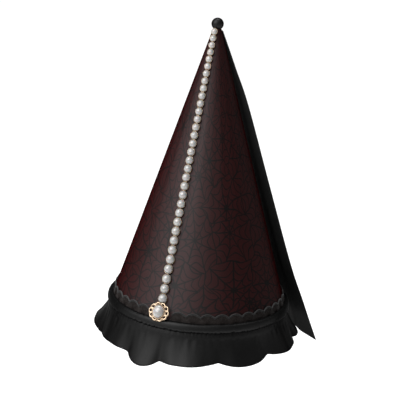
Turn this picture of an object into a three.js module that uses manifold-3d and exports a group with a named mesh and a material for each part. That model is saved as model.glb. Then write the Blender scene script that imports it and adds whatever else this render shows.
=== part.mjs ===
// Hennin: a tall hollow cone hat with a padded roll, lace and a gathered ruffle at its foot, a graduated row
// of flat-backed pearls in gilt rims down the front to a brooch, a ball on the tip and a veil behind.
// Millimetres, +Z up as worn. The front faces -Y and the wearer's left is +X.
// The origin is the middle of the rim circle, where the head goes in. The hat leans back toward +Y.

import * as THREE from "three";
import { mergeVertices } from "three/addons/utils/BufferGeometryUtils.js";
import Module from "manifold-3d";

const wasm = await Module();
wasm.setup();

const DEGREE = Math.PI / 180;

// The whole hat
const HEAD_CIRCUMFERENCE = 576;
const HALF_ANGLE = 17 * DEGREE;
const TILT_BACK = 9 * DEGREE;
const GAP = 0.3;
const ROUND_SEGMENTS = 60;

// Crown
const CROWN_WALL = 2;
const CROWN_TOP_BELOW_APEX = 9.5;
const HOLLOW_TOP_BELOW_APEX = 16;

const RIM_INNER_RADIUS = HEAD_CIRCUMFERENCE / (2 * Math.PI);
const RIM_RADIUS = RIM_INNER_RADIUS + CROWN_WALL / Math.cos(HALF_ANGLE);
const APEX_HEIGHT = RIM_RADIUS / Math.tan(HALF_ANGLE);
const CROWN_TOP = APEX_HEIGHT - CROWN_TOP_BELOW_APEX;
const HOLLOW_TOP = APEX_HEIGHT - HOLLOW_TOP_BELOW_APEX;

// Tip ball
const BALL_RADIUS = 6.2;
const BALL_HEIGHT = APEX_HEIGHT - 9.1;
const BALL_SIDES = 14;
const BALL_RINGS = 8;

// Padded roll, a round section flattened where it lies on the cone
const ROLL_HEIGHT = 8.7;
const ROLL_RADIUS = 4.6;
const ROLL_LIFT = 0.5;
const ROLL_STEPS = 6;

// Lace strip, open behind the brooch
const LACE_WALL = 1;
const LACE_FOOT = 13.7;
const LACE_VALLEY = 19.4;
const LACE_PEAK = 22.6;
const LACE_END_AZIMUTH = 8 * DEGREE;
const LACE_SCALLOPS = 37;
const LACE_STEPS = 4;

// Ruffle: a plain header, then a frill that swells into a row of lobes at the hem
const RUFFLE_WALL = 1.2;
const RUFFLE_TOP = 4;
const HEADER_FOOT = -0.6;
const HEADER_FOOT_RADIUS = 97;
const HEM_HEIGHT = -23;
const NOTCH_RADIUS = 102;
const LOBE_STEPS = 6;
const LOBE_ROUNDNESS = 0.7;
const RUFFLE_LOBES = [
  { fromDegrees: -50, notchDrop: 4, reach: 3.2, drop: -1.5 },
  { fromDegrees: -16, notchDrop: 2.7, reach: 7.5, drop: 7.2 },
  { fromDegrees: 4.4, notchDrop: 2.3, reach: 6, drop: 2 },
  { fromDegrees: 38, notchDrop: -1.3, reach: 6, drop: 5.2 },
  { fromDegrees: 70, notchDrop: -3, reach: 6, drop: 3.6 },
  { fromDegrees: 105, notchDrop: -1.5, reach: 6.5, drop: 3 },
  { fromDegrees: 134, notchDrop: -1.5, reach: 6, drop: 3 },
  { fromDegrees: 163, notchDrop: 0, reach: 6.5, drop: 2.5 },
  { fromDegrees: 192, notchDrop: -0.5, reach: 6, drop: 3 },
  { fromDegrees: 220, notchDrop: -1, reach: 6.5, drop: 2 },
  { fromDegrees: 245, notchDrop: -3, reach: 6, drop: 2.5 },
  { fromDegrees: 269, notchDrop: -5, reach: 7.6, drop: 1 },
];
const RUFFLE_ROWS = [
  { down: 1, out: 1 },
  { down: 0.66, out: 0.57 },
  { down: 0.32, out: 0.21 },
  { down: 0, out: 0 },
];

// Veil: each row states its height at the side edges and at the centre back, how far it stands off the cone
// at both, half the angle it wraps and how deep its folds are
const VEIL_WALL = 1;
const VEIL_COLUMNS = 32;
const VEIL_EDGE_POWER = 3;
const VEIL_ROWS = [
  { edgeHeight: -42.6, backHeight: -39, edgeOff: 27.4, backOff: 11, wrapDegrees: 52, fold: 6.5 },
  { edgeHeight: -22, backHeight: -21, edgeOff: 25, backOff: 14, wrapDegrees: 52, fold: 5.5 },
  { edgeHeight: 4, backHeight: 4, edgeOff: 22.3, backOff: 13.5, wrapDegrees: 52, fold: 4.5 },
  { edgeHeight: 46, backHeight: 46, edgeOff: 17.8, backOff: 9, wrapDegrees: 52, fold: 3.5 },
  { edgeHeight: 132, backHeight: 132, edgeOff: 13.8, backOff: 5, wrapDegrees: 52, fold: 2.2 },
  { edgeHeight: 215, backHeight: 215, edgeOff: 10.2, backOff: 3.4, wrapDegrees: 52, fold: 1.2 },
  { edgeHeight: 254, backHeight: 254, edgeOff: 5.6, backOff: 2.4, wrapDegrees: 54, fold: 0.6 },
  { edgeHeight: 290, backHeight: 290, edgeOff: 1.8, backOff: 1.8, wrapDegrees: 62, fold: 0 },
];
const VEIL_FOLDS = [
  { at: -0.66, width: 0.1, depth: 0.8 },
  { at: -0.27, width: 0.12, depth: 1 },
  { at: 0.1, width: 0.1, depth: 0.7 },
  { at: 0.44, width: 0.12, depth: 0.9 },
  { at: 0.76, width: 0.09, depth: 0.6 },
];

// Flat-backed pearls and their chain of rims, measured down the front of the cone from its apex
const PEARL_COUNT = 33;
const PEARL_FIRST = 17.4;
const PITCH_TOP = 6.75;
const PITCH_BOTTOM = 10.1;
const PEARL_SHARE_OF_PITCH = 0.84;
const PEARL_DOME_SHARE = 0.92;
const PEARL_SIDES = 10;
const PEARL_RINGS = 3;
const RIM_SHARE_OF_PITCH = 0.52;
const RIM_HEIGHT = 1.4;
const STRIP_WIDTH = 1.4;
const STRIP_THICKNESS = 0.5;

// Brooch
const BROOCH_DOWN = 300.4;
const BROOCH_LIFT = 3.7;
const BROOCH_LEAN = 9.5 * DEGREE;
const BROOCH_HALF = { across: 10, up: 9 };
const BROOCH_PLATE = 1.6;
const BROOCH_LOBES = 10;
const BROOCH_LOBE_DEPTH = 0.07;
const BROOCH_LOBE_STEPS = 5;
const BROOCH_HOLE_RADIUS = 0.85;
const BROOCH_HOLE_SIDES = 6;
const BROOCH_HOLE_SHARE = 0.82;
const BEZEL_HEIGHT = 1.8;
const BEZEL_WALL = 0.9;
const BEZEL_SIDES = 16;
const STEM_RADIUS = 3;
const STEM_SIDES = 10;
const OVAL_HALF = { across: 5.3, up: 6.3, deep: 3.2 };
const OVAL_SEAT_SHARE = 0.9;
const OVAL_SIDES = 12;
const OVAL_RINGS = 8;

const RED_SATIN = { color: 0x4a0d10, roughness: 0.5, metalness: 0 };
const BLACK_SATIN = { color: 0x1c1b1c, roughness: 0.45, metalness: 0 };
const BLACK_LACE = { color: 0x2e2b2a, roughness: 0.85, metalness: 0 };
const GILT = { color: 0xcaa66c, roughness: 0.35, metalness: 1 };
const PEARL = { color: 0xe7e3da, roughness: 0.25, metalness: 0 };

function piece(name, geometry, look) {
  const mesh = new THREE.Mesh(geometry, new THREE.MeshStandardMaterial(look));
  mesh.name = name;
  return mesh;
}

// Radius of the cone that lies a lift outside the crown's cloth, at a height over the rim.
function coneRadius(height, lift = 0) {
  return (APEX_HEIGHT - height) * Math.tan(HALF_ANGLE) + lift / Math.cos(HALF_ANGLE);
}

// Azimuth runs from the front toward the wearer's left.
function roundPoint(radius, azimuth, height) {
  return new THREE.Vector3(radius * Math.sin(azimuth), -radius * Math.cos(azimuth), height);
}

// Revolves [radius, height] points about Z.
function revolve(profile, segments = ROUND_SEGMENTS, phase = 0) {
  const points = profile.map(([radius, height]) => new THREE.Vector2(radius, height));
  return new THREE.LatheGeometry(points, segments, phase).rotateX(Math.PI / 2);
}

function sphere(radius, sides, rings) {
  return new THREE.SphereGeometry(radius, sides, rings).rotateX(Math.PI / 2);
}

// A closed skin through sections that each run up the outer face and back down the inner face.
function loft(sections, closesRound) {
  const size = sections[0].length;
  const index = [];
  const quad = (a, b, c, d) => index.push(a, b, c, a, c, d);
  const spans = closesRound ? sections.length : sections.length - 1;
  for (let i = 0; i < spans; i++) {
    const here = i * size;
    const next = ((i + 1) % sections.length) * size;
    for (let j = 0; j < size; j++) {
      const k = (j + 1) % size;
      quad(here + j, next + j, next + k, here + k);
    }
  }
  if (!closesRound) {
    const last = (sections.length - 1) * size;
    for (let j = 0; j < size / 2 - 1; j++) {
      const across = size - 1 - j;
      quad(j, j + 1, across - 1, across);
      quad(last + across, last + across - 1, last + j + 1, last + j);
    }
  }
  const geometry = new THREE.BufferGeometry().setFromPoints(sections.flat());
  geometry.setIndex(index);
  geometry.computeVertexNormals();
  return geometry;
}

function toManifold(geometry) {
  const bare = geometry.clone();
  bare.deleteAttribute("normal");
  bare.deleteAttribute("uv");
  const merged = mergeVertices(bare);
  const vertProperties = merged.attributes.position.array;
  const triVerts = new Uint32Array(merged.index.array);
  return new wasm.Manifold(new wasm.Mesh({ numProp: 3, vertProperties, triVerts }));
}

function fromManifold(solid) {
  const mesh = solid.getMesh();
  const geometry = new THREE.BufferGeometry();
  geometry.setAttribute("position", new THREE.BufferAttribute(mesh.vertProperties, mesh.numProp));
  geometry.setIndex(new THREE.BufferAttribute(mesh.triVerts, 1));
  const faceted = geometry.toNonIndexed();
  faceted.computeVertexNormals();
  return faceted;
}

function fuse(geometries) {
  return fromManifold(geometries.map(toManifold).reduce((whole, next) => whole.add(next)));
}

function crown() {
  return revolve([
    [0, HOLLOW_TOP],
    [coneRadius(HOLLOW_TOP, -CROWN_WALL), HOLLOW_TOP],
    [RIM_INNER_RADIUS, 0],
    [RIM_RADIUS, 0],
    [coneRadius(CROWN_TOP), CROWN_TOP],
    [0, CROWN_TOP],
  ]);
}

function tipBall() {
  const ball = sphere(BALL_RADIUS, BALL_SIDES, BALL_RINGS).translate(0, 0, BALL_HEIGHT);
  const low = BALL_HEIGHT - 2 * BALL_RADIUS;
  const top = CROWN_TOP + GAP;
  const pocket = revolve(
    [
      [0, low],
      [coneRadius(low, GAP), low],
      [coneRadius(top, GAP), top],
      [0, top],
    ],
    BALL_SIDES,
  );
  return fromManifold(toManifold(ball).subtract(toManifold(pocket)));
}

// The arc ends where the round section meets the cone's face, and a straight side closes it there.
function paddedRoll() {
  const reach = Math.acos((GAP - ROLL_LIFT) / ROLL_RADIUS);
  const profile = [];
  for (let i = 0; i <= ROLL_STEPS; i++) {
    const angle = -reach + (2 * reach * i) / ROLL_STEPS;
    const up = ROLL_RADIUS * Math.sin(angle);
    const off = ROLL_LIFT + ROLL_RADIUS * Math.cos(angle);
    profile.push([
      coneRadius(ROLL_HEIGHT) + off * Math.cos(HALF_ANGLE) - up * Math.sin(HALF_ANGLE),
      ROLL_HEIGHT + up * Math.cos(HALF_ANGLE) + off * Math.sin(HALF_ANGLE),
    ]);
  }
  profile.push(profile[0]);
  return revolve(profile);
}

function laceTrim() {
  const columns = LACE_SCALLOPS * LACE_STEPS;
  const sweep = 2 * Math.PI - 2 * LACE_END_AZIMUTH;
  const sections = [];
  for (let i = 0; i <= columns; i++) {
    const azimuth = LACE_END_AZIMUTH + (sweep * i) / columns;
    const swell = Math.abs(Math.sin((Math.PI * i) / LACE_STEPS));
    const top = LACE_VALLEY + (LACE_PEAK - LACE_VALLEY) * swell;
    const at = (height, lift) => roundPoint(coneRadius(height, lift), azimuth, height);
    const outer = GAP + LACE_WALL;
    sections.push([at(LACE_FOOT, outer), at(top, outer), at(top, GAP), at(LACE_FOOT, GAP)]);
  }
  return loft(sections, false);
}

// One section of the ruffle, whose hem stands a reach out from the notches and a drop below the hem line.
function ruffleSection(azimuth, reach, drop) {
  const hemRadius = NOTCH_RADIUS + reach;
  const hemHeight = HEM_HEIGHT - drop;
  const outer = RUFFLE_ROWS.map(({ down, out }) => ({
    radius: HEADER_FOOT_RADIUS + (hemRadius - HEADER_FOOT_RADIUS) * out,
    height: HEADER_FOOT + (hemHeight - HEADER_FOOT) * down,
  }));
  outer.push({ radius: coneRadius(RUFFLE_TOP, GAP) + RUFFLE_WALL, height: RUFFLE_TOP });
  const inner = outer.map(({ radius, height }) => ({ radius: radius - RUFFLE_WALL, height })).reverse();
  return [...outer, ...inner].map(({ radius, height }) => roundPoint(radius, azimuth, height));
}

function ruffle() {
  const sections = [];
  RUFFLE_LOBES.forEach((lobe, i) => {
    const isLast = i + 1 === RUFFLE_LOBES.length;
    const next = RUFFLE_LOBES[isLast ? 0 : i + 1];
    const toDegrees = next.fromDegrees + (isLast ? 360 : 0);
    for (let step = 0; step < LOBE_STEPS; step++) {
      const share = step / LOBE_STEPS;
      const swell = Math.sin(Math.PI * share) ** LOBE_ROUNDNESS;
      const azimuth = THREE.MathUtils.lerp(lobe.fromDegrees, toDegrees, share) * DEGREE;
      const drop = THREE.MathUtils.lerp(lobe.notchDrop, next.notchDrop, share) + lobe.drop * swell;
      sections.push(ruffleSection(azimuth, lobe.reach * swell, drop));
    }
  });
  return loft(sections, true);
}

// Height of the veil's folds, as a share of the row's fold depth, at a place from -1 to 1 across it.
function veilFold(across) {
  return VEIL_FOLDS.reduce(
    (sum, fold) => sum + fold.depth * Math.exp(-(((across - fold.at) / fold.width) ** 2)),
    0,
  );
}

function veilSection(across) {
  const edgeShare = Math.abs(across) ** VEIL_EDGE_POWER;
  const outer = VEIL_ROWS.map((row) => {
    const height = THREE.MathUtils.lerp(row.backHeight, row.edgeHeight, edgeShare);
    const off = THREE.MathUtils.lerp(row.backOff, row.edgeOff, edgeShare) + row.fold * veilFold(across);
    const azimuth = Math.PI + across * row.wrapDegrees * DEGREE;
    return { radius: coneRadius(height, off), azimuth, height };
  });
  const inner = outer.map((point) => ({ ...point, radius: point.radius - VEIL_WALL })).reverse();
  return [...outer, ...inner].map(({ radius, azimuth, height }) => roundPoint(radius, azimuth, height));
}

function veil() {
  const sections = [];
  for (let i = 0; i <= VEIL_COLUMNS; i++) {
    sections.push(veilSection((2 * i) / VEIL_COLUMNS - 1));
  }
  return loft(sections, false);
}

// Size and place of each pearl, from the tip down the front of the cone.
function pearlRow() {
  const row = [];
  let down = PEARL_FIRST;
  for (let i = 0; i < PEARL_COUNT; i++) {
    const pitch = THREE.MathUtils.lerp(PITCH_TOP, PITCH_BOTTOM, i / (PEARL_COUNT - 1));
    if (i > 0) {
      down += (row[i - 1].pitch + pitch) / 2;
    }
    const radius = (pitch * PEARL_SHARE_OF_PITCH) / 2;
    row.push({ pitch, radius, down });
  }
  return row;
}

// Dome with a flat back.
function pearlDome({ radius }) {
  const profile = [[0, 0]];
  for (let i = 0; i < PEARL_RINGS; i++) {
    const angle = (Math.PI * i) / (2 * PEARL_RINGS);
    profile.push([radius * Math.cos(angle), radius * PEARL_DOME_SHARE * Math.sin(angle)]);
  }
  profile.push([0, radius * PEARL_DOME_SHARE]);
  return revolve(profile, PEARL_SIDES);
}

// Rim that leans out round the foot of a pearl.
function pearlRim({ pitch, radius, down }) {
  const foot = [radius + GAP, 0];
  const profile = [foot, [pitch * RIM_SHARE_OF_PITCH, RIM_HEIGHT], [radius + GAP, RIM_HEIGHT], foot];
  return revolve(profile, PEARL_SIDES).translate(0, -down, GAP);
}

function pearlChain(row) {
  const first = row[0].down;
  const last = row[row.length - 1].down;
  const strip = new THREE.BoxGeometry(STRIP_WIDTH, last - first, STRIP_THICKNESS);
  strip.translate(0, -(first + last) / 2, GAP + STRIP_THICKNESS / 2);
  return fuse([strip, ...row.map(pearlRim)]);
}

function ellipsePath(half, grow, sides, path) {
  path.absellipse(0, 0, half.across + grow, half.up + grow, 0, 2 * Math.PI, false, 0);
  return path.getSpacedPoints(sides).slice(0, -1);
}

function broochPlate() {
  const outline = [];
  const steps = BROOCH_LOBES * BROOCH_LOBE_STEPS;
  for (let i = 0; i < steps; i++) {
    const turn = (2 * Math.PI * i) / steps;
    const swell = 1 + BROOCH_LOBE_DEPTH * Math.cos(BROOCH_LOBES * turn);
    outline.push(
      new THREE.Vector2(
        BROOCH_HALF.across * swell * Math.cos(turn),
        BROOCH_HALF.up * swell * Math.sin(turn),
      ),
    );
  }
  const shape = new THREE.Shape(outline);
  for (let i = 0; i < BROOCH_LOBES; i++) {
    const turn = (2 * Math.PI * i) / BROOCH_LOBES;
    const hole = new THREE.Path();
    hole.absarc(
      BROOCH_HALF.across * BROOCH_HOLE_SHARE * Math.cos(turn),
      BROOCH_HALF.up * BROOCH_HOLE_SHARE * Math.sin(turn),
      BROOCH_HOLE_RADIUS,
      0,
      2 * Math.PI,
      true,
    );
    shape.holes.push(new THREE.Path(hole.getSpacedPoints(BROOCH_HOLE_SIDES).slice(0, -1)));
  }
  return new THREE.ExtrudeGeometry(shape, { depth: BROOCH_PLATE, bevelEnabled: false });
}

// The plate with a raised bezel round the oval pearl, and a stem behind it that reaches back to the crown.
function broochSetting() {
  const seat = {
    across: OVAL_HALF.across * OVAL_SEAT_SHARE + GAP,
    up: OVAL_HALF.up * OVAL_SEAT_SHARE + GAP,
  };
  const ring = new THREE.Shape(ellipsePath(seat, BEZEL_WALL, BEZEL_SIDES, new THREE.Path()));
  ring.holes.push(new THREE.Path(ellipsePath(seat, 0, BEZEL_SIDES, new THREE.Path())));
  const sunk = BROOCH_PLATE / 2;
  const bezel = new THREE.ExtrudeGeometry(ring, { depth: BEZEL_HEIGHT + sunk, bevelEnabled: false });
  bezel.translate(0, 0, BROOCH_PLATE - sunk);
  const stemFoot = -(BROOCH_LIFT - GAP) / Math.cos(BROOCH_LEAN) + STEM_RADIUS * Math.tan(BROOCH_LEAN);
  const stem = revolve(
    [
      [0, stemFoot],
      [STEM_RADIUS, stemFoot],
      [STEM_RADIUS, sunk],
      [0, sunk],
    ],
    STEM_SIDES,
  );
  return fuse([broochPlate(), bezel, stem]);
}

function broochPearl() {
  const oval = sphere(1, OVAL_SIDES, OVAL_RINGS);
  oval.scale(OVAL_HALF.across, OVAL_HALF.up, OVAL_HALF.deep);
  return oval.translate(0, 0, BROOCH_PLATE + GAP + OVAL_HALF.deep);
}

// The front frame has its origin at the cone's apex, +Y up the front of the cone and +Z out from it.
function frontPieces() {
  const front = new THREE.Group();
  front.position.z = APEX_HEIGHT;
  front.rotation.x = Math.PI / 2 - HALF_ANGLE;
  const row = pearlRow();
  front.add(piece("pearl_chain", pearlChain(row), GILT));
  row.forEach((place, i) => {
    const name = `pearl_${String(i + 1).padStart(2, "0")}`;
    const pearl = piece(name, pearlDome(place), PEARL);
    pearl.position.set(0, -place.down, GAP + STRIP_THICKNESS + GAP);
    front.add(pearl);
  });
  const brooch = new THREE.Group();
  brooch.position.set(0, -BROOCH_DOWN, BROOCH_LIFT);
  brooch.rotation.x = -BROOCH_LEAN;
  brooch.add(piece("brooch_setting", broochSetting(), GILT));
  brooch.add(piece("brooch_pearl", broochPearl(), PEARL));
  front.add(brooch);
  return front;
}

function hennin() {
  const hat = new THREE.Group();
  hat.rotation.x = -TILT_BACK;
  hat.add(piece("crown", crown(), RED_SATIN));
  hat.add(piece("tip_ball", tipBall(), BLACK_SATIN));
  hat.add(piece("padded_roll", paddedRoll(), BLACK_SATIN));
  hat.add(piece("lace_trim", laceTrim(), BLACK_LACE));
  hat.add(piece("ruffle", ruffle(), BLACK_SATIN));
  hat.add(piece("veil", veil(), BLACK_SATIN));
  hat.add(frontPieces());
  const whole = new THREE.Group();
  whole.name = "hennin";
  whole.add(hat);
  return whole;
}

export default hennin();
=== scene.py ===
import math

import bpy
import numpy as np
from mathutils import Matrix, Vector


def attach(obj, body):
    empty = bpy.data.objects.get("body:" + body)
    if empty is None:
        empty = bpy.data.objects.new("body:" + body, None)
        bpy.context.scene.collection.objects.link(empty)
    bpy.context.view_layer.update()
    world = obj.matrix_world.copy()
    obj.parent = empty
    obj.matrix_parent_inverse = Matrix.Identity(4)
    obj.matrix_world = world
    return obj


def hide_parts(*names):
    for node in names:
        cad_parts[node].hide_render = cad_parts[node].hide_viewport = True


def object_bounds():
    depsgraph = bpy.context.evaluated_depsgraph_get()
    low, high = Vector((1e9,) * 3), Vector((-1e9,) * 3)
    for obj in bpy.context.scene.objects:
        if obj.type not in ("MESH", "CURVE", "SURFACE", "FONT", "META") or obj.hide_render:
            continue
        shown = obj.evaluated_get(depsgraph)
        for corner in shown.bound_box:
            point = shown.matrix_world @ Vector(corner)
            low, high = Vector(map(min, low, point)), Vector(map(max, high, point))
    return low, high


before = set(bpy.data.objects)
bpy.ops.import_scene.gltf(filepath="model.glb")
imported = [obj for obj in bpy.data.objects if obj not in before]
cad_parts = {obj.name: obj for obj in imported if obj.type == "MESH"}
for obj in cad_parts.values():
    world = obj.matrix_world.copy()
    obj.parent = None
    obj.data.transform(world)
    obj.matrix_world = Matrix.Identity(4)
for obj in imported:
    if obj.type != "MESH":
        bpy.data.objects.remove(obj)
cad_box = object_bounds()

# Shapes are worked out in millimetres in the hat's own frame, with +Z along the cone, and turned into the row
# frame by to_row. Azimuth runs from the front toward the wearer's left.
MM = 0.001

# The cone
HEAD_CIRCUMFERENCE = 576.0
HALF_ANGLE = math.radians(17)
TILT_BACK = math.radians(9)
CROWN_WALL = 2.0
CROWN_TOP_BELOW_APEX = 9.5
RIM_RADIUS = HEAD_CIRCUMFERENCE / math.tau + CROWN_WALL / math.cos(HALF_ANGLE)
APEX_HEIGHT = RIM_RADIUS / math.tan(HALF_ANGLE)
GAP = 0.3
CROWN_COLUMNS = 288
CROWN_ROWS = 90
CROWN_SEAM_DEPTH = 0.5
CROWN_SEAM_WIDTH = 0.012
CROWN_WAVES = [
    {"count": 2, "height": 0.12, "phase": 0.4},
    {"count": 5, "height": 0.09, "phase": 1.9},
    {"count": 9, "height": 0.05, "phase": 4.1},
    {"count": 17, "height": 0.07, "phase": 2.2},
    {"count": 26, "height": 0.05, "phase": 0.9},
]

# The cobweb print: spacing of the webs, the radius at which the print is as wide as it is tall, and threads
WEB_CELL = 42.0
WEB_TRUE_RADIUS = 72.0
WEB_SPOKES = 9
WEB_RINGS = 4.4
WEB_SAG = 0.24
WEB_SPOKE_HALF = 0.68
WEB_RING_HALF = 0.74
WEB_BORDER_HALF = 0.5
WEB_SPREAD = 0.9
WEB_WANDER = 0.24

# Satin of the crown: how far its floats lean its gloss up toward the tip, and how strong the gloss is
SATIN_LEAN = 0.36
SATIN_GLOSS = 0.45
SATIN_GLOSS_FADE = (0.3, 0.9)
SATIN_ROUGHNESS = 0.54

# Tip ball
BALL_RADIUS = 6.2
BALL_HEIGHT = APEX_HEIGHT - 9.1
BALL_SIDES = 64
BALL_ROWS = 36
BALL_PLEATS = 18
BALL_PLEAT_DEPTH = 0.12

# Padded roll
ROLL_HEIGHT = 8.6
ROLL_HALF = 4.9
ROLL_DEPTH = 4.6
ROLL_LIFT = 0.3
ROLL_SQUARENESS = 0.72
ROLL_COLUMNS = 1080
ROLL_ROWS = 26
PUCKER_COUNT = 150
PUCKER_WIDTH = (0.005, 0.011)
PUCKER_DEPTH = (0.1, 0.8)
PUCKER_SEED = 7
PUCKER_SHARE = {"middle": 0.06, "foot": 1.3, "top": 0.3}
PUCKER_FOOT_POWER = 1.5
PUCKER_TOP_POWER = 3
ROLL_DENTS = [
    {"count": 7, "height": 0.12, "phase": 1.0},
    {"count": 17, "height": 0.1, "phase": 3.3},
]

# Lace strip
LACE_WALL = 0.5
LACE_FOOT = 13.7
LACE_TUCK = 1.6
LACE_VALLEY = 19.4
LACE_PEAK = 22.6
LACE_END_AZIMUTH = math.radians(8)
LACE_SCALLOPS = 37
LACE_ROUNDNESS = 0.8
LACE_STEPS = 16
LACE_ROWS = 8
LACE_LIFT = 0.75
LACE_CORDS = [
    {"from_edge": 0.0, "radius": 0.5},
    {"from_edge": 1.3, "radius": 0.26},
]
LACE_RIBS = 5
LACE_RIB_RADIUS = 0.2
LACE_RIB_ROOT = 0.3
LACE_RIB_SPREAD = 0.4
LACE_RIB_STEPS = 5
LACE_CORD_SIDES = 6

# Ruffle
RUFFLE_WALL = 0.9
RUFFLE_TOP = 6.2
HEADER_FOOT = -0.6
HEADER_FOOT_RADIUS = 95.2
HEADER_EASE = 1.3
HEADER_PUCKER = 0.7
HEM_HEIGHT = -23.0
NOTCH_RADIUS = 102.0
LOBE_ROUNDNESS = 0.7
LOBE_FULLNESS = 0.8
LOBE_SMOOTHING = 14
RUFFLE_FLARE = 1.2
RUFFLE_COLUMNS = 1080
RUFFLE_ROWS = 34
HEADER_ROWS = 6
RUFFLE_HEM_RADIUS = 0.65
RUFFLE_LOBES = [
    {"from_degrees": -50, "notch_drop": 4, "reach": 3.2, "drop": -1.5},
    {"from_degrees": -16, "notch_drop": 2.7, "reach": 7.5, "drop": 7.2},
    {"from_degrees": 4.4, "notch_drop": 2.3, "reach": 6, "drop": 2},
    {"from_degrees": 38, "notch_drop": -1.3, "reach": 6, "drop": 5.2},
    {"from_degrees": 70, "notch_drop": -3, "reach": 6, "drop": 3.6},
    {"from_degrees": 105, "notch_drop": -1.5, "reach": 6.5, "drop": 3},
    {"from_degrees": 134, "notch_drop": -1.5, "reach": 6, "drop": 3},
    {"from_degrees": 163, "notch_drop": 0, "reach": 6.5, "drop": 2.5},
    {"from_degrees": 192, "notch_drop": -0.5, "reach": 6, "drop": 3},
    {"from_degrees": 220, "notch_drop": -1, "reach": 6.5, "drop": 2},
    {"from_degrees": 245, "notch_drop": -3, "reach": 6, "drop": 2.5},
    {"from_degrees": 269, "notch_drop": -5, "reach": 7.6, "drop": 1},
]
RUFFLE_GATHERS = [
    {"count": 58, "height": 0.1, "phase": 0.6},
    {"count": 83, "height": 0.1, "phase": 3.7},
]
GATHER_FADE = 0.4
GATHER_START = 0.06
FOLD_EASE = 0.5
RUFFLE_FOLDS = [
    {"count": 29, "height": 0.45, "phase": 2.1},
    {"count": 41, "height": 0.22, "phase": 0.2},
]

# Veil
VEIL_WALL = 0.7
VEIL_LIFT = 0.5
VEIL_COLUMNS = 240
VEIL_SAMPLES = 200
VEIL_EDGE_POWER = 3
VEIL_HEM_RADIUS = 0.5
# Heights between which the veil goes from painted shade at the hem to its own dye above
VEIL_SHADE_HEIGHTS = (-0.03, 0.06)
VEIL_ROWS = [
    {"edge_height": -42.6, "back_height": -39, "edge_off": 27.4, "back_off": 11, "wrap": 52, "fold": 6.5},
    {"edge_height": -22, "back_height": -21, "edge_off": 25, "back_off": 14, "wrap": 52, "fold": 5.5},
    {"edge_height": 4, "back_height": 4, "edge_off": 22.3, "back_off": 13.5, "wrap": 52, "fold": 4.5},
    {"edge_height": 46, "back_height": 46, "edge_off": 17.8, "back_off": 9, "wrap": 52, "fold": 3.5},
    {"edge_height": 132, "back_height": 132, "edge_off": 13.8, "back_off": 5, "wrap": 52, "fold": 2.2},
    {"edge_height": 215, "back_height": 215, "edge_off": 10.2, "back_off": 3.4, "wrap": 52, "fold": 1.2},
    {"edge_height": 254, "back_height": 254, "edge_off": 5.6, "back_off": 2.4, "wrap": 54, "fold": 0.6},
    {"edge_height": 291, "back_height": 291, "edge_off": 1.1, "back_off": 1.1, "wrap": 62, "fold": 0},
]
VEIL_FOLDS = [
    {"at": -0.66, "width": 0.1, "depth": 0.8},
    {"at": -0.27, "width": 0.12, "depth": 1},
    {"at": 0.1, "width": 0.1, "depth": 0.7},
    {"at": 0.44, "width": 0.12, "depth": 0.9},
    {"at": 0.76, "width": 0.09, "depth": 0.6},
]
VEIL_CREASES = [
    {"count": 23, "height": 0.07, "phase": 0.8},
    {"count": 37, "height": 0.05, "phase": 2.6},
]

# Flat-backed pearls and their chain of rims, measured down the front of the cone from its apex
PEARL_COUNT = 33
PEARL_FIRST = 17.4
PITCH_TOP = 6.75
PITCH_BOTTOM = 10.1
PEARL_SHARE_OF_PITCH = 0.9
PEARL_DOME_SHARE = 0.92
PEARL_SIDES = 36
PEARL_STEPS = 14
STRIP_THICKNESS = 0.5
STRIP_HALF_WIDTH = 0.7
RIM_SHARE_OF_PITCH = 0.5
RIM_HEIGHT = 1.3
RIM_ROLL = 0.16
RIM_ROLL_ANGLES = (-math.pi / 4, math.pi * 1.1)
RIM_ROLL_STEPS = 9

# Brooch
BROOCH_DOWN = 300.4
BROOCH_LIFT = 3.7
BROOCH_LEAN = math.radians(9.5)
BROOCH_HALF = (10.0, 9.0)
BROOCH_LOBES = 10
BROOCH_LOOP_MIDDLE = (8.7, 7.2)
BROOCH_LOOP_HALF = (1.8, 2.2)
BROOCH_WIRE = 0.9
BROOCH_PLATE = 1.6
BEZEL_WIRE = 0.55
BEZEL_GAP = 0.35
BEZEL_HEIGHT = 1.4
BEZEL_SUNK = 0.9
BEZEL_BEAD = 0.42
BEZEL_BEADS = 44
BEAD_OUT = 0.25
BEAD_SUNK = 0.3
BEAD_GRID = (8, 6)
GRANULE_RADIUS = 0.75
GRANULE_LIFT = 0.2
GRANULE_GRID = (12, 8)
STEM_RADIUS = 3.0
STEM_SIDES = 40
SEAT_RADIUS = 5.2
SEAT_SUNK = 0.3
OVAL_HALF = (5.8, 6.5, 4.8)
OVAL_SIDES = 48
OVAL_STEPS = 20
WIRE_SIDES = 10
WIRE_STEPS = 28

# Dyes and metals, as base colours in linear light
RED_DARK = (0.0135, 0.0006, 0.0007, 1.0)
RED_LIGHT = (0.018, 0.0008, 0.0009, 1.0)
NET_DARK = (0.008, 0.0057, 0.0053, 1.0)
NET_LIGHT = (0.024, 0.0207, 0.0193, 1.0)
GILT_BRIGHT = (0.5, 0.385, 0.275, 1.0)
GILT_WORN = (0.36, 0.265, 0.18, 1.0)
RIM_BRIGHT = (0.42, 0.32, 0.22, 1.0)
RIM_WORN = (0.28, 0.2, 0.13, 1.0)
PEARL_DARK = (0.3, 0.292, 0.284, 1.0)
PEARL_LIGHT = (0.36, 0.356, 0.35, 1.0)

# Camera, worked out from the photograph
CAMERA_AZIMUTH = math.radians(25.66)
CAMERA_ELEVATION = math.radians(23.89)
CAMERA_DISTANCE = 1.222
CAMERA_TARGET = Vector((0.0078, 0.0128, 0.1065))
CAMERA_LENS = 101.5

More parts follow.
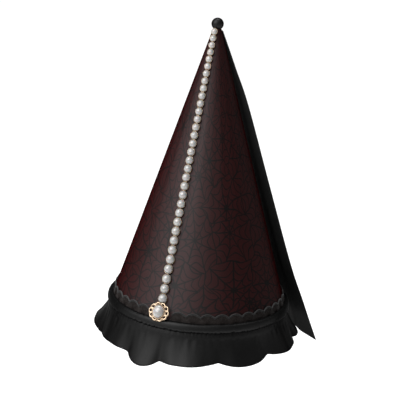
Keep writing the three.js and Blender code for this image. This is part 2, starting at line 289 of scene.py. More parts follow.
# Stage
FLOOR_HALF = 12.0
FLOOR_DROP = 0.3
WORLD_GREY = 0.9
WORLD_STRENGTH = 0.1
LIGHT_TARGET = Vector((0.0, 0.02, 0.12))
LIGHTS = [
    {"name": "key", "azimuth": -33, "elevation": 51, "distance": 1.5, "size": 1.5, "power": 44},
]
SUN_POWER = 3.7
SUN_ANGLE = math.radians(30)
SUN_AZIMUTH = math.radians(200)
SUN_ELEVATION = math.radians(52)


def to_row(points):
    """Hat frame in millimetres to the row frame in metres."""
    points = np.asarray(points, float).reshape(-1, 3)
    turned = points.copy()
    turned[:, 1] = points[:, 1] * math.cos(TILT_BACK) + points[:, 2] * math.sin(TILT_BACK)
    turned[:, 2] = points[:, 2] * math.cos(TILT_BACK) - points[:, 1] * math.sin(TILT_BACK)
    return turned * MM


def front_to_hat(points):
    """Front frame to the hat frame: origin at the apex, +Y up the front of the cone and +Z out from it."""
    points = np.asarray(points, float).reshape(-1, 3)
    x, y, z = points.T
    sine, cosine = math.sin(HALF_ANGLE), math.cos(HALF_ANGLE)
    return np.stack([x, y * sine - z * cosine, APEX_HEIGHT + y * cosine + z * sine], axis=-1)


def brooch_to_hat(points):
    """Brooch frame, with its origin in the middle of the setting's back, to the hat frame."""
    points = np.asarray(points, float).reshape(-1, 3)
    x, y, z = points.T
    sine, cosine = math.sin(BROOCH_LEAN), math.cos(BROOCH_LEAN)
    return front_to_hat(
        np.stack([x, y * cosine + z * sine - BROOCH_DOWN, z * cosine - y * sine + BROOCH_LIFT], axis=-1)
    )


def cone_radius(height, lift=0.0):
    return (APEX_HEIGHT - height) * math.tan(HALF_ANGLE) + lift / math.cos(HALF_ANGLE)


def round_points(radius, azimuth, height):
    radius, azimuth, height = np.broadcast_arrays(radius, azimuth, height)
    return np.stack([radius * np.sin(azimuth), -radius * np.cos(azimuth), height], axis=-1)


def ripples(azimuth, waves):
    """Sum of whole waves round the hat."""
    return sum(w["height"] * np.sin(w["count"] * azimuth + w["phase"]) for w in waves)


def puckers(azimuth):
    """Narrow dents at uneven places round the hat, where thread draws the cloth in."""
    draw = np.random.default_rng(PUCKER_SEED)
    places = (np.arange(PUCKER_COUNT) + draw.uniform(-0.4, 0.4, PUCKER_COUNT)) / PUCKER_COUNT * math.tau
    depth = np.zeros_like(azimuth)
    for place, width, dent in zip(
        places, draw.uniform(*PUCKER_WIDTH, PUCKER_COUNT), draw.uniform(*PUCKER_DEPTH, PUCKER_COUNT)
    ):
        apart = (azimuth - place + math.pi) % math.tau - math.pi
        depth += dent * np.exp(-((apart / width) ** 2))
    return depth


def smooth_rows(values, samples):
    """A smooth curve through a short column of values, sampled evenly from row to row."""
    values = np.asarray(values, float)
    at = np.linspace(0, len(values) - 1, samples)
    low = np.minimum(at.astype(int), len(values) - 2)
    t = at - low
    slopes = np.gradient(values)
    start, end = values[low], values[low + 1]
    leave, arrive = slopes[low], slopes[low + 1]
    return (
        (2 * t**3 - 3 * t**2 + 1) * start
        + (t**3 - 2 * t**2 + t) * leave
        + (3 * t**2 - 2 * t**3) * end
        + (t**3 - t**2) * arrive
    )


def grid_faces(rows, columns, wraps):
    """Quads of a grid whose rows run round the hat and whose columns run up it."""
    spans = columns if wraps else columns - 1
    return [
        (
            r * columns + c,
            r * columns + (c + 1) % columns,
            (r + 1) * columns + (c + 1) % columns,
            (r + 1) * columns + c,
        )
        for r in range(rows - 1)
        for c in range(spans)
    ]


def grid_uvs(across, up):
    """A uv pair for each corner of a wrapped grid's faces: across has one value more than the columns."""
    spans = len(across) - 1
    return [
        value
        for r in range(len(up) - 1)
        for c in range(spans)
        for value in (across[c], up[r], across[c + 1], up[r], across[c + 1], up[r + 1], across[c], up[r + 1])
    ]


def joined(parts):
    """One list of points and one of faces from several."""
    points, faces, count = [], [], 0
    for part_points, part_faces in parts:
        points.append(np.asarray(part_points, float).reshape(-1, 3))
        faces.extend(tuple(i + count for i in face) for face in part_faces)
        count += len(points[-1])
    return np.concatenate(points), faces


def revolved(profile, sides):
    """A closed ring of quads from a profile of (radius, height) points, open at its two ends."""
    turn = np.arange(sides) / sides * math.tau
    radius, height = np.asarray(profile, float).T
    points = np.stack(
        [
            radius[:, None] * np.cos(turn),
            radius[:, None] * np.sin(turn),
            np.repeat(height[:, None], sides, axis=1),
        ],
        axis=-1,
    )
    return points.reshape(-1, 3), grid_faces(len(radius), sides, True)


def sphere(radii, centre, sides, steps):
    """A ball, or an oval one, whose poles lie on Z."""
    angle = np.linspace(-math.pi / 2, math.pi / 2, steps + 1)
    points, faces = revolved(np.stack([np.cos(angle), np.sin(angle)], axis=-1), sides)
    return points * np.asarray(radii) + np.asarray(centre), faces


def tube(path, radius, sides, closes):
    """A round wire along a path of points."""
    path = np.asarray(path, float)
    if closes:
        along = np.roll(path, -1, axis=0) - np.roll(path, 1, axis=0)
    else:
        along = np.gradient(path, axis=0)
    along /= np.linalg.norm(along, axis=1, keepdims=True)
    side = np.zeros_like(path)
    guide = np.eye(3)[np.argmin(np.abs(along[0]))]
    for i, direction in enumerate(along):
        guide = guide - direction * np.dot(guide, direction)
        guide /= np.linalg.norm(guide)
        side[i] = guide
    other = np.cross(along, side)
    turn = np.arange(sides) / sides * math.tau
    ring = side[:, None] * np.cos(turn)[None, :, None] + other[:, None] * np.sin(turn)[None, :, None]
    points = path[:, None] + radius * ring
    count = len(path)
    faces = [
        (
            i * sides + j,
            i * sides + (j + 1) % sides,
            (i + 1) % count * sides + (j + 1) % sides,
            (i + 1) % count * sides + j,
        )
        for i in range(count if closes else count - 1)
        for j in range(sides)
    ]
    if not closes:
        faces.append(tuple(reversed(range(sides))))
        faces.append(tuple((count - 1) * sides + j for j in range(sides)))
    return points.reshape(-1, 3), faces


def add_piece(name, shape, material, nodes=(), uvs=None):
    """A smooth mesh in the row frame that rides on the hat and stands for the named nodes."""
    points, faces = shape
    mesh = bpy.data.meshes.new(name)
    mesh.from_pydata(to_row(points).tolist(), [], faces)
    mesh.polygons.foreach_set("use_smooth", [True] * len(mesh.polygons))
    mesh.materials.append(material)
    if uvs is not None:
        mesh.uv_layers.new(name="cloth").data.foreach_set("uv", uvs)
    mesh.update()
    piece = bpy.data.objects.new(name, mesh)
    bpy.context.scene.collection.objects.link(piece)
    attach(piece, "root")
    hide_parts(*nodes)
    return piece


def thicken(piece, wall, offset):
    solidify = piece.modifiers.new("wall", "SOLIDIFY")
    solidify.thickness = wall * MM
    solidify.offset = offset
    return solidify


class Shader:
    """A material with short ways to add nodes to it."""

    def __init__(self, name, **values):
        self.material = bpy.data.materials.new(name)
        self.material.use_nodes = True
        self.tree = self.material.node_tree
        self.surface = self.tree.nodes["Principled BSDF"]
        for key, value in values.items():
            self.surface.inputs[key.replace("_", " ").title().replace("Ior", "IOR")].default_value = value

    def node(self, kind, settings, inputs):
        made = self.tree.nodes.new(kind)
        for key, value in settings.items():
            setattr(made, key, value)
        for key, value in inputs.items():
            self.feed(made.inputs[key], value)
        return made

    def feed(self, socket, value):
        if isinstance(value, bpy.types.NodeSocket):
            self.tree.links.new(value, socket)
        else:
            socket.default_value = value

    def math(self, operation, *values):
        return self.node("ShaderNodeMath", {"operation": operation}, dict(enumerate(values))).outputs[0]

    def vector(self, operation, inputs):
        return self.node("ShaderNodeVectorMath", {"operation": operation}, inputs).outputs[0]

    def uv(self):
        return self.node("ShaderNodeUVMap", {"uv_map": "cloth"}, {}).outputs["UV"]

    def place(self):
        return self.node("ShaderNodeTexCoord", {}, {}).outputs["Object"]

    def stretched(self, vector, scale):
        return self.node("ShaderNodeMapping", {}, {"Vector": vector, "Scale": scale}).outputs["Vector"]

    def noise(self, vector, scale, detail=2.0):
        inputs = {"Vector": vector, "Scale": scale, "Detail": detail}
        return self.node("ShaderNodeTexNoise", {}, inputs).outputs["Fac"]

    def fade(self, value, low, high, at_low, at_high):
        settings = {"interpolation_type": "SMOOTHSTEP"}
        inputs = {"Value": value, "From Min": low, "From Max": high, "To Min": at_low, "To Max": at_high}
        return self.node("ShaderNodeMapRange", settings, inputs).outputs["Result"]

    def mix(self, share, colour_a, colour_b):
        made = self.node("ShaderNodeMix", {"data_type": "RGBA"}, {0: share, 6: colour_a, 7: colour_b})
        return made.outputs[2]

    def bump(self, height, strength, distance):
        inputs = {"Height": height, "Strength": strength, "Distance": distance * MM}
        return self.node("ShaderNodeBump", {}, inputs).outputs["Normal"]

    def gloss(self, level, start=0.13, end=0.53):
        """Gloss that fades out where the cloth turns away, as a brushed satin's does."""
        facing = self.node("ShaderNodeLayerWeight", {}, {"Blend": 0.5}).outputs["Facing"]
        return self.fade(facing, start, end, level, 0.02 * level)

    def finish(self, colour, roughness, normal):
        self.feed(self.surface.inputs["Base Color"], colour)
        self.feed(self.surface.inputs["Roughness"], roughness)
        self.feed(self.surface.inputs["Normal"], normal)
        return self.material


def grey(value):
    return (value, value, value, 1.0)


def cobweb(shader, vector):
    """1 on the threads of a field of webs with spokes and rings that sag between them, and 0 elsewhere."""
    inputs = {"Vector": vector, "Scale": 1.0, "Randomness": WEB_SPREAD}
    cells = shader.node("ShaderNodeTexVoronoi", {"voronoi_dimensions": "2D"}, inputs)
    settings = {"voronoi_dimensions": "2D", "feature": "DISTANCE_TO_EDGE"}
    border = shader.node("ShaderNodeTexVoronoi", settings, inputs).outputs["Distance"]
    away = shader.vector("SUBTRACT", {0: vector, 1: cells.outputs["Position"]})
    axes = shader.node("ShaderNodeSeparateXYZ", {}, {0: away})
    tint = shader.node("ShaderNodeSeparateColor", {}, {0: cells.outputs["Color"]})
    distance = cells.outputs["Distance"]
    angle = shader.math("ARCTAN2", axes.outputs["Y"], axes.outputs["X"])
    turn = shader.math("MULTIPLY_ADD", angle, WEB_SPOKES / math.tau, tint.outputs["Red"])
    sector = shader.math("FRACT", turn)
    rest = shader.math("SUBTRACT", 1.0, sector)
    nearest = shader.math("MULTIPLY", shader.math("MINIMUM", sector, rest), math.tau / WEB_SPOKES)
    spoke = shader.math("MULTIPLY", nearest, distance)
    sag = shader.math("MULTIPLY", shader.math("MULTIPLY", sector, rest), 4 * WEB_SAG)
    reach = shader.math("DIVIDE", distance, shader.math("SUBTRACT", 1.0, sag))
    wave = shader.math("FRACT", shader.math("MULTIPLY_ADD", reach, WEB_RINGS, tint.outputs["Green"]))
    ring = shader.math("DIVIDE", shader.math("ABSOLUTE", shader.math("SUBTRACT", wave, 0.5)), WEB_RINGS)
    lines = ((spoke, WEB_SPOKE_HALF), (ring, WEB_RING_HALF), (border, WEB_BORDER_HALF))
    masks = [
        shader.fade(line, 0.5 * half / WEB_CELL, 1.5 * half / WEB_CELL, 1.0, 0.0)
        for line, half in lines
    ]
    return shader.math("MAXIMUM", shader.math("MAXIMUM", masks[0], masks[1]), masks[2])


def crown_material():
    shader = Shader("red_satin_cobweb", specular_ior_level=0.0, coat_roughness=SATIN_ROUGHNESS)
    uv = shader.uv()
    settings, inputs = {"noise_dimensions": "2D"}, {"Vector": uv, "Scale": 1.3, "Detail": 1.0}
    blur = shader.node("ShaderNodeTexNoise", settings, inputs).outputs["Color"]
    centred = shader.vector("SUBTRACT", {0: blur, 1: (0.5, 0.5, 0.5)})
    wander = shader.vector("SCALE", {0: centred, "Scale": WEB_WANDER})
    web = cobweb(shader, shader.vector("ADD", {0: uv, 1: wander}))
    patch = shader.noise(uv, 0.9)
    red = shader.mix(patch, RED_DARK, RED_LIGHT)
    satin = shader.gloss(SATIN_GLOSS, *SATIN_GLOSS_FADE)
    gloss = shader.math("MULTIPLY", satin, shader.fade(web, 0.0, 1.0, 1.0, 0.82))
    shader.feed(shader.surface.inputs["Coat Weight"], gloss)
    facing = shader.node("ShaderNodeNewGeometry", {}, {}).outputs["Normal"]
    leant = shader.vector("ADD", {0: facing, 1: (0.0, 0.0, SATIN_LEAN)})
    shader.feed(shader.surface.inputs["Coat Normal"], shader.vector("NORMALIZE", {0: leant}))
    ink = shader.math("MULTIPLY", web, shader.fade(shader.noise(uv, 14.0), 0.3, 0.6, 0.75, 1.0))
    colour = shader.mix(ink, red, grey(0.001))
    weave = shader.noise(shader.stretched(uv, (260.0, 36.0, 1.0)), 1.0)
    roughness = shader.fade(weave, 0.2, 0.8, 0.56, 0.62)
    height = shader.math("MULTIPLY_ADD", weave, 0.25, shader.math("MULTIPLY", web, 0.15))
    return shader.finish(colour, roughness, shader.bump(height, 0.2, 0.3))


def cloth_material(name, dark, light, roughness, thread, specular):
    """Black cloth with a fine thread, uneven dye and a soft gloss."""
    shader = Shader(name)
    shader.feed(shader.surface.inputs["Specular IOR Level"], shader.gloss(specular))
    place = shader.place()
    patch = shader.noise(place, 28.0, 3.0)
    weave = shader.noise(shader.stretched(place, thread), 1.0)
    colour = shader.mix(patch, grey(dark), grey(light))
    gloss = shader.fade(weave, 0.25, 0.75, roughness - 0.05, roughness + 0.07)
    height = shader.math("MULTIPLY_ADD", patch, 0.5, weave)
    return shader.finish(colour, gloss, shader.bump(height, 0.25, 0.25))


def veil_material():
    """Black crepe with uneven dye, and painted shade that makes it darker toward the hem."""
    shader = Shader("black_crepe")
    shader.feed(shader.surface.inputs["Specular IOR Level"], shader.gloss(0.06))
    place = shader.place()
    height = shader.node("ShaderNodeSeparateXYZ", {}, {0: place}).outputs["Z"]
    weave = shader.noise(shader.stretched(place, (900.0, 900.0, 700.0)), 1.0)
    dye = shader.mix(shader.noise(place, 28.0, 3.0), grey(0.026), grey(0.036))
    # Painted shade: below these heights the crepe is painted darker toward the hem
    colour = shader.mix(shader.fade(height, *VEIL_SHADE_HEIGHTS, 0.0, 1.0), grey(0.011), dye)
    return shader.finish(colour, shader.fade(weave, 0.25, 0.75, 0.55, 0.67), shader.bump(weave, 0.25, 0.25))


def lace_net_material():
    """Fine net in black and bronze thread, with denser patches of leaf work."""
    shader = Shader("lace_net", specular_ior_level=0.1)
    place = shader.place()
    mesh = shader.noise(place, 1400.0, 1.0)
    leaf = shader.noise(place, 330.0, 2.0)
    net = shader.fade(mesh, 0.35, 0.65, 0.3, 1.0)
    thread = shader.math("MULTIPLY", net, shader.fade(leaf, 0.35, 0.65, 0.45, 1.0))
    colour = shader.mix(thread, NET_DARK, NET_LIGHT)
    roughness = shader.fade(thread, 0.0, 1.0, 0.75, 0.6)
    return shader.finish(colour, roughness, shader.bump(thread, 0.4, 0.25))


def lace_thread_material():
    shader = Shader("lace_thread", specular_ior_level=0.12)
    place = shader.place()
    twist = shader.noise(shader.stretched(place, (900.0, 900.0, 2600.0)), 1.0)
    colour = shader.mix(twist, grey(0.02), grey(0.05))
    return shader.finish(colour, shader.fade(twist, 0.2, 0.8, 0.5, 0.75), shader.bump(twist, 0.5, 0.2))


def gilt_material(name, bright, worn):
    shader = Shader(name, metallic=1.0)
    place = shader.place()
    wear = shader.noise(place, 420.0, 4.0)
    colour = shader.mix(shader.fade(wear, 0.35, 0.7, 0.0, 1.0), bright, worn)
    return shader.finish(colour, shader.fade(wear, 0.3, 0.7, 0.25, 0.45), shader.bump(wear, 0.15, 0.15))


def pearl_material():
    shader = Shader(
        "pearl",
        specular_ior_level=0.6,
        coat_weight=0.6,
        coat_roughness=0.12,
        subsurface_weight=0.15,
        subsurface_scale=0.002,
    )
    place = shader.place()
    cloud = shader.noise(place, 160.0, 3.0)
    colour = shader.mix(cloud, PEARL_DARK, PEARL_LIGHT)
    return shader.finish(colour, shader.fade(cloud, 0.3, 0.7, 0.22, 0.34), shader.bump(cloud, 0.08, 0.2))


def floor_material():
    shader = Shader("pale_floor", specular_ior_level=0.1)
    cloud = shader.noise(shader.place(), 1.5)
    colour = shader.mix(cloud, grey(0.93), grey(0.95))
    return shader.finish(colour, shader.fade(cloud, 0.0, 1.0, 0.85, 0.95), shader.bump(cloud, 0.02, 0.5))


def add_crown(inside):
    azimuth = np.linspace(-math.pi, math.pi, CROWN_COLUMNS + 1)
    height = np.linspace(0.0, APEX_HEIGHT - CROWN_TOP_BELOW_APEX, CROWN_ROWS)
    turn, up = np.meshgrid(azimuth[:-1], height)
    fullness = np.sin(math.pi * up / up.max())
    from_seam = math.pi - np.abs(turn)
    seam = CROWN_SEAM_DEPTH * np.exp(-((from_seam / CROWN_SEAM_WIDTH) ** 2))
    points = round_points(cone_radius(up) + ripples(turn, CROWN_WAVES) * fullness - seam, turn, up)
    across = azimuth * WEB_TRUE_RADIUS / WEB_CELL
    along = height / math.cos(HALF_ANGLE) / WEB_CELL
    shape = points.reshape(-1, 3), grid_faces(CROWN_ROWS, CROWN_COLUMNS, True)
    uvs = grid_uvs(across, along)
    crown = add_piece("crown_cloth", shape, crown_material(), ["crown"], uvs)
    crown.data.materials.append(inside)
    thicken(crown, CROWN_WALL, -1).material_offset = 1
    return crown


def add_tip_ball(satin):
    """A covered ball, gathered where the cone goes into it."""
    start = -math.pi / 2 + math.asin(cone_radius(BALL_HEIGHT - BALL_RADIUS) / BALL_RADIUS)
    angle = np.linspace(start, math.pi / 2, BALL_ROWS)
    turn = np.arange(BALL_SIDES) / BALL_SIDES * math.tau
    low = np.clip(-np.sin(angle), 0, 1)[:, None]
    radius = BALL_RADIUS - BALL_PLEAT_DEPTH * low * (1 + np.cos(BALL_PLEATS * turn))
    points = round_points(
        radius * np.cos(angle)[:, None], turn[None, :], BALL_HEIGHT + radius * np.sin(angle)[:, None]
    )
    shape = points.reshape(-1, 3), grid_faces(BALL_ROWS, BALL_SIDES, True)
    return add_piece("tip_ball_cover", shape, satin, ["tip_ball"])


def add_roll(satin):
    angle = np.linspace(-math.pi / 2, math.pi / 2, ROLL_ROWS)[:, None]
    turn = (np.arange(ROLL_COLUMNS) / ROLL_COLUMNS * math.tau)[None, :]
    near_foot = np.clip(-np.sin(angle), 0, 1) ** PUCKER_FOOT_POWER
    near_top = np.clip(np.sin(angle), 0, 1) ** PUCKER_TOP_POWER
    drawn = PUCKER_SHARE["middle"] + PUCKER_SHARE["foot"] * near_foot + PUCKER_SHARE["top"] * near_top
    dents = ripples(turn, ROLL_DENTS) - puckers(turn) * drawn
    up = np.sign(angle) * (ROLL_HALF + dents) * np.abs(np.sin(angle)) ** ROLL_SQUARENESS
    off = ROLL_LIFT + (ROLL_DEPTH + dents) * np.cos(angle) ** ROLL_SQUARENESS
    radius = cone_radius(ROLL_HEIGHT) + off * math.cos(HALF_ANGLE) - up * math.sin(HALF_ANGLE)
    height = ROLL_HEIGHT + up * math.cos(HALF_ANGLE) + off * math.sin(HALF_ANGLE)
    points = round_points(radius, turn, height)
    shape = points.reshape(-1, 3), grid_faces(ROLL_ROWS, ROLL_COLUMNS, True)
    roll = add_piece("padded_roll_cover", shape, satin, ["padded_roll"])
    return roll


def scallop_top(step, inset=0.0):
    """Height of the lace's edge, or of a line an inset below it, at a count of scallops from its end."""
    swell = np.abs(np.sin(math.pi * step)) ** LACE_ROUNDNESS
    return LACE_VALLEY + (LACE_PEAK - LACE_VALLEY) * swell - inset


def lace_azimuth(step):
    return LACE_END_AZIMUTH + (math.tau - 2 * LACE_END_AZIMUTH) * step / LACE_SCALLOPS


def lace_line(step, height, lift):
    return round_points(cone_radius(height, lift), lace_azimuth(step), height)


def lace_cords():
    """Cords that follow the scallops."""
    step = np.linspace(0, LACE_SCALLOPS, LACE_SCALLOPS * LACE_STEPS + 1)
    return joined(
        tube(
            lace_line(step, scallop_top(step, cord["from_edge"]), LACE_LIFT + cord["radius"]),
            cord["radius"],
            LACE_CORD_SIDES,
            False,
        )
        for cord in LACE_CORDS
    )


def lace_ribs():
    """Fine threads that fan out in each scallop."""
    parts = []
    share = np.linspace(0, 1, LACE_RIB_STEPS)
    for scallop in range(LACE_SCALLOPS):
        middle = scallop + 0.5
        for rib in np.linspace(-LACE_RIB_SPREAD, LACE_RIB_SPREAD, LACE_RIBS):
            along = middle + rib * (LACE_RIB_ROOT + (1 - LACE_RIB_ROOT) * share)
            height = LACE_FOOT + (scallop_top(middle + rib) - LACE_FOOT) * share
            path = lace_line(along, height, LACE_LIFT + LACE_RIB_RADIUS)
            parts.append(tube(path, LACE_RIB_RADIUS, LACE_CORD_SIDES, False))
    return joined(parts)


def add_lace(net, thread):
    step = np.linspace(0, LACE_SCALLOPS, LACE_SCALLOPS * LACE_STEPS + 1)
    share = np.linspace(0, 1, LACE_ROWS)[:, None]
    foot = LACE_FOOT - LACE_TUCK
    height = foot + (scallop_top(step)[None, :] - foot) * share
    points = lace_line(step[None, :], height, LACE_LIFT)
    shape = points.reshape(-1, 3), grid_faces(LACE_ROWS, len(step), False)
    band = add_piece("lace_net_band", shape, net, ["lace_trim"])
    thicken(band, LACE_WALL, -1)
    cords = add_piece("lace_cords", lace_cords(), thread)
    ribs = add_piece("lace_ribs", lace_ribs(), net)
    return band


def rounded_off(values):
    """The same values round the hat with their sharp corners softened."""
    for _ in range(LOBE_SMOOTHING):
        values = (np.roll(values, 1) + 2 * values + np.roll(values, -1)) / 4
    return values


def lobe_hem(azimuth):
    """Reach beyond the notches and drop below the hem line, round the ruffle."""
    degrees = np.degrees(azimuth)
    reach = np.zeros_like(degrees)
    drop = np.zeros_like(degrees)
    for lobe, following in zip(RUFFLE_LOBES, RUFFLE_LOBES[1:] + RUFFLE_LOBES[:1]):
        start = lobe["from_degrees"]
        width = (following["from_degrees"] - start) % 360
        share = ((degrees - start) % 360) / width
        inside = share < 1
        arch = np.sin(math.pi * np.clip(share, 0, 1))
        notch = lobe["notch_drop"] + (following["notch_drop"] - lobe["notch_drop"]) * share
        reach = np.where(inside, lobe["reach"] * arch**LOBE_FULLNESS, reach)
        drop = np.where(inside, notch + lobe["drop"] * arch**LOBE_ROUNDNESS, drop)
    return rounded_off(reach), rounded_off(drop)


def ruffle_grid():
    """Rows from the hem up to the top of the header."""
    turn = (np.arange(RUFFLE_COLUMNS) / RUFFLE_COLUMNS * math.tau)[None, :]
    reach, drop = lobe_hem(turn)
    hem_radius, hem_height = NOTCH_RADIUS + reach, HEM_HEIGHT - drop
    down = np.linspace(1, 0, RUFFLE_ROWS)[:, None]
    out = down**RUFFLE_FLARE
    gathers = ripples(turn, RUFFLE_GATHERS) * np.exp(-((down / GATHER_FADE) ** 2))
    gathers = gathers * np.clip(down / GATHER_START, 0, 1)
    folds = ripples(turn, RUFFLE_FOLDS) * down * (1 - FOLD_EASE * down)
    frill_radius = HEADER_FOOT_RADIUS + (hem_radius - HEADER_FOOT_RADIUS) * out + gathers + folds
    frill_height = HEADER_FOOT + (hem_height - HEADER_FOOT) * down
    rise = np.linspace(0, 1, HEADER_ROWS + 1)[1:, None]
    top_radius = cone_radius(RUFFLE_TOP, GAP) + RUFFLE_WALL
    pucker = puckers(turn) * rise * HEADER_PUCKER
    header_radius = HEADER_FOOT_RADIUS + (top_radius - HEADER_FOOT_RADIUS) * rise**HEADER_EASE - pucker
    header_height = HEADER_FOOT + (RUFFLE_TOP - HEADER_FOOT) * rise + 0 * turn
    radius = np.concatenate([frill_radius, header_radius])
    height = np.concatenate([frill_height, header_height])
    return round_points(radius, turn, height)


def add_ruffle(satin):
    points = ruffle_grid()
    rows = points.shape[0]
    shape = points.reshape(-1, 3), grid_faces(rows, RUFFLE_COLUMNS, True)
    ruffle = add_piece("ruffle_cloth", shape, satin, ["ruffle"])
    thicken(ruffle, RUFFLE_WALL, -1)
    hem = add_piece(
        "ruffle_hem", tube(points[0], RUFFLE_HEM_RADIUS, LACE_CORD_SIDES, True), satin
    )
    return ruffle


def veil_grid():
    """Rows from the hem up to the tip."""
    column = {
        key: smooth_rows([row[key] for row in VEIL_ROWS], VEIL_SAMPLES)[:, None] for key in VEIL_ROWS[0]
    }
    across = np.linspace(-1, 1, VEIL_COLUMNS)[None, :]
    edge = np.abs(across) ** VEIL_EDGE_POWER
    height = column["back_height"] + (column["edge_height"] - column["back_height"]) * edge
    ridge = sum(f["depth"] * np.exp(-(((across - f["at"]) / f["width"]) ** 2)) for f in VEIL_FOLDS)
    ridge = ridge + ripples(across, VEIL_CREASES) * (1 - edge)
    off = column["back_off"] + (column["edge_off"] - column["back_off"]) * edge + column["fold"] * ridge
    azimuth = math.pi + across * np.radians(column["wrap"])
    return round_points(cone_radius(height, off) - VEIL_LIFT, azimuth, height)


def add_veil(cloth):
    points = veil_grid()
    shape = points.reshape(-1, 3), grid_faces(VEIL_SAMPLES, VEIL_COLUMNS, False)
    veil = add_piece("veil_cloth", shape, cloth, ["veil"])
    thicken(veil, VEIL_WALL, 0)
    border = np.concatenate([points[::-1, 0], points[0, 1:-1], points[:, -1]])
    hem = add_piece("veil_hem", tube(border, VEIL_HEM_RADIUS, LACE_CORD_SIDES, False), cloth)
    return veil


def pearl_row():
    """Size and place of each pearl, from the tip down the front of the cone."""
    row = []
    down = PEARL_FIRST
    for i in range(PEARL_COUNT):
        pitch = PITCH_TOP + (PITCH_BOTTOM - PITCH_TOP) * i / (PEARL_COUNT - 1)
        if row:
            down += (row[-1]["pitch"] + pitch) / 2
        row.append({"pitch": pitch, "radius": pitch * PEARL_SHARE_OF_PITCH / 2, "down": down})
    return row


def dome(half, foot, sides, steps):
    """A flat-backed dome with half sizes across, up and deep, whose middle stands on a foot point."""
    angle = np.linspace(0, math.pi / 2, steps)
    points, faces = revolved([(0.0, 0.0), *np.stack([np.cos(angle), np.sin(angle)], axis=-1)], sides)
    return points * np.asarray(half) + np.asarray(foot), faces


def pearl_dome(pearl):
    """A pearl whose foot stands inside its rim."""
    radius = pearl["radius"]
    foot = (0.0, -pearl["down"], 2 * GAP + STRIP_THICKNESS)
    return dome((radius, radius, radius * PEARL_DOME_SHARE), foot, PEARL_SIDES, PEARL_STEPS)


def pearl_rim(pearl):
    """A wall that leans out round the foot of a pearl and ends in a rolled edge."""
    outer = pearl["pitch"] * RIM_SHARE_OF_PITCH
    wall = [(pearl["radius"], 0.0), (outer - RIM_ROLL, RIM_HEIGHT - RIM_ROLL)]
    turn = np.linspace(*RIM_ROLL_ANGLES, RIM_ROLL_STEPS)
    edge = np.stack(
        [outer - RIM_ROLL + RIM_ROLL * np.cos(turn), RIM_HEIGHT + RIM_ROLL * np.sin(turn)], axis=-1
    )
    points, faces = revolved([*wall, *edge, (pearl["radius"] - RIM_ROLL, STRIP_THICKNESS)], PEARL_SIDES)
    return points + np.array([0.0, -pearl["down"], GAP]), faces


def add_pearls(pearl, gilt):
    row = pearl_row()
    first, last = row[0]["down"], row[-1]["down"]
    strip = [
        (x, -y, z)
        for y in (first, last)
        for x, z in (
            (-STRIP_HALF_WIDTH, GAP),
            (STRIP_HALF_WIDTH, GAP),
            (STRIP_HALF_WIDTH, GAP + STRIP_THICKNESS),
            (-STRIP_HALF_WIDTH, GAP + STRIP_THICKNESS),
        )
    ]
    strip_faces = [(0, 1, 5, 4), (1, 2, 6, 5), (2, 3, 7, 6), (3, 0, 4, 7), (3, 2, 1, 0), (4, 5, 6, 7)]
    points, faces = joined([(strip, strip_faces)] + [pearl_rim(p) for p in row])
    add_piece("pearl_rims", (front_to_hat(points), faces), gilt, ["pearl_chain"])
    for i, p in enumerate(row, start=1):
        points, faces = pearl_dome(p)
        add_piece(f"front_pearl_{i:02d}", (front_to_hat(points), faces), pearl, [f"pearl_{i:02d}"])


def ellipse(half, height, steps, centre=(0.0, 0.0), lean=0.0):
    turn = np.arange(steps) / steps * math.tau
    x, y = half[0] * np.cos(turn), half[1] * np.sin(turn)
    return np.stack(
        [
            centre[0] + x * math.cos(lean) - y * math.sin(lean),
            centre[1] + x * math.sin(lean) + y * math.cos(lean),
            np.full(steps, height),
        ],
        axis=-1,
    )


def brooch_setting():
    """A bezel with a beaded edge, a border of wire loops with grains between them, and a stem behind."""
    bezel_half = (OVAL_HALF[0] + BEZEL_GAP, OVAL_HALF[1] + BEZEL_GAP)
    top = BROOCH_PLATE + BEZEL_HEIGHT
    parts = [
        tube(ellipse(bezel_half, top - BEZEL_SUNK, 2 * WIRE_STEPS), BEZEL_WIRE, WIRE_SIDES, True),
        tube(ellipse(bezel_half, BROOCH_PLATE / 2, 2 * WIRE_STEPS), BEZEL_WIRE, WIRE_SIDES, True),
    ]
    bead_half = (bezel_half[0] + BEAD_OUT, bezel_half[1] + BEAD_OUT)
    for bead in ellipse(bead_half, top - BEAD_SUNK, BEZEL_BEADS):
        parts.append(sphere((BEZEL_BEAD,) * 3, bead, *BEAD_GRID))
    for i in range(BROOCH_LOBES):
        turn = math.tau * i / BROOCH_LOBES
        middle = (
            BROOCH_LOOP_MIDDLE[0] * math.cos(turn),
            BROOCH_LOOP_MIDDLE[1] * math.sin(turn),
        )
        loop = ellipse(BROOCH_LOOP_HALF, BROOCH_PLATE / 2, WIRE_STEPS, middle, turn)
        parts.append(tube(loop, BROOCH_WIRE, WIRE_SIDES, True))
        between = turn + math.pi / BROOCH_LOBES
        grain = (
            BROOCH_HALF[0] * math.cos(between),
            BROOCH_HALF[1] * math.sin(between),
            BROOCH_PLATE / 2 + GRANULE_LIFT,
        )
        parts.append(sphere((GRANULE_RADIUS,) * 3, grain, *GRANULE_GRID))
    foot = -(BROOCH_LIFT - GAP) / math.cos(BROOCH_LEAN) + STEM_RADIUS * math.tan(BROOCH_LEAN)
    back = BROOCH_PLATE - SEAT_SUNK
    stem = [(0.0, foot), (STEM_RADIUS, foot), (STEM_RADIUS, 0.0)]
    plate = [(SEAT_RADIUS, SEAT_SUNK), (SEAT_RADIUS, back), (0.0, back)]
    parts.append(revolved([*stem, *plate], STEM_SIDES))
    return joined(parts)


def add_brooch(pearl, gilt):
    points, faces = brooch_setting()
    add_piece("brooch_filigree", (brooch_to_hat(points), faces), gilt, ["brooch_setting"])
    points, faces = dome(OVAL_HALF, (0.0, 0.0, BROOCH_PLATE), OVAL_SIDES, OVAL_STEPS)
    add_piece("brooch_oval_pearl", (brooch_to_hat(points), faces), pearl, ["brooch_pearl"])


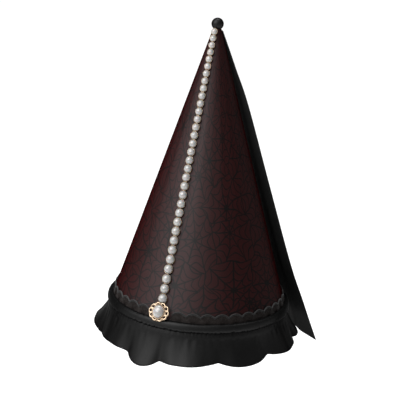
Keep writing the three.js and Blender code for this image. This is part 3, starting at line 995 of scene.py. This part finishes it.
def around(target, azimuth, elevation, distance):
    """The point that far from a target, seen at an azimuth from the front and an elevation."""
    return target + distance * Vector(
        (
            math.sin(azimuth) * math.cos(elevation),
            -math.cos(azimuth) * math.cos(elevation),
            math.sin(elevation),
        )
    )


def add_camera():
    camera = bpy.data.objects.new("camera", bpy.data.cameras.new("camera"))
    camera.data.lens = CAMERA_LENS
    camera.location = around(CAMERA_TARGET, CAMERA_AZIMUTH, CAMERA_ELEVATION, CAMERA_DISTANCE)
    camera.rotation_euler = (CAMERA_TARGET - camera.location).to_track_quat("-Z", "Y").to_euler()
    bpy.context.scene.collection.objects.link(camera)
    bpy.context.scene.camera = camera


def add_lights():
    for row in LIGHTS:
        light = bpy.data.lights.new(row["name"], "AREA")
        light.energy = row["power"]
        light.size = row["size"]
        lamp = bpy.data.objects.new(row["name"], light)
        azimuth, elevation = math.radians(row["azimuth"]), math.radians(row["elevation"])
        lamp.location = around(LIGHT_TARGET, azimuth, elevation, row["distance"])
        lamp.rotation_euler = (LIGHT_TARGET - lamp.location).to_track_quat("-Z", "Y").to_euler()
        bpy.context.scene.collection.objects.link(lamp)
    sun = bpy.data.lights.new("backdrop", "SUN")
    sun.energy = SUN_POWER
    sun.angle = SUN_ANGLE
    lamp = bpy.data.objects.new("backdrop", sun)
    away = around(LIGHT_TARGET, SUN_AZIMUTH, SUN_ELEVATION, 1.0) - LIGHT_TARGET
    lamp.rotation_euler = away.to_track_quat("Z", "Y").to_euler()
    bpy.context.scene.collection.objects.link(lamp)
    world = bpy.data.worlds.new("studio")
    world.use_nodes = True
    background = world.node_tree.nodes["Background"]
    background.inputs["Color"].default_value = grey(WORLD_GREY)
    background.inputs["Strength"].default_value = WORLD_STRENGTH
    bpy.context.scene.world = world
    bpy.context.scene.view_settings.view_transform = "Standard"


def add_floor():
    height = cad_box[0].z - FLOOR_DROP
    sides = ((-1, -1), (1, -1), (1, 1), (-1, 1))
    corners = [(x * FLOOR_HALF, y * FLOOR_HALF, height) for x, y in sides]
    mesh = bpy.data.meshes.new("floor")
    mesh.from_pydata(corners, [], [(0, 1, 2, 3)])
    mesh.materials.append(floor_material())
    floor = bpy.data.objects.new("floor", mesh)
    bpy.context.scene.collection.objects.link(floor)


def add_hat():
    satin = cloth_material("black_satin", 0.002, 0.004, 0.48, (1500.0, 1500.0, 420.0), 0.21)
    inside = cloth_material("crown_inside", 0.006, 0.01, 0.7, (700.0, 700.0, 700.0), 0.1)
    gilt = gilt_material("gilt", GILT_BRIGHT, GILT_WORN)
    rim_gilt = gilt_material("rim_gilt", RIM_BRIGHT, RIM_WORN)
    pearl = pearl_material()
    add_crown(inside)
    add_tip_ball(satin)
    add_roll(satin)
    add_lace(lace_net_material(), lace_thread_material())
    add_ruffle(satin)
    add_veil(veil_material())
    add_pearls(pearl, rim_gilt)
    add_brooch(pearl, gilt)


add_camera()
add_lights()
add_floor()
add_hat()

bpy.context.view_layer.update()
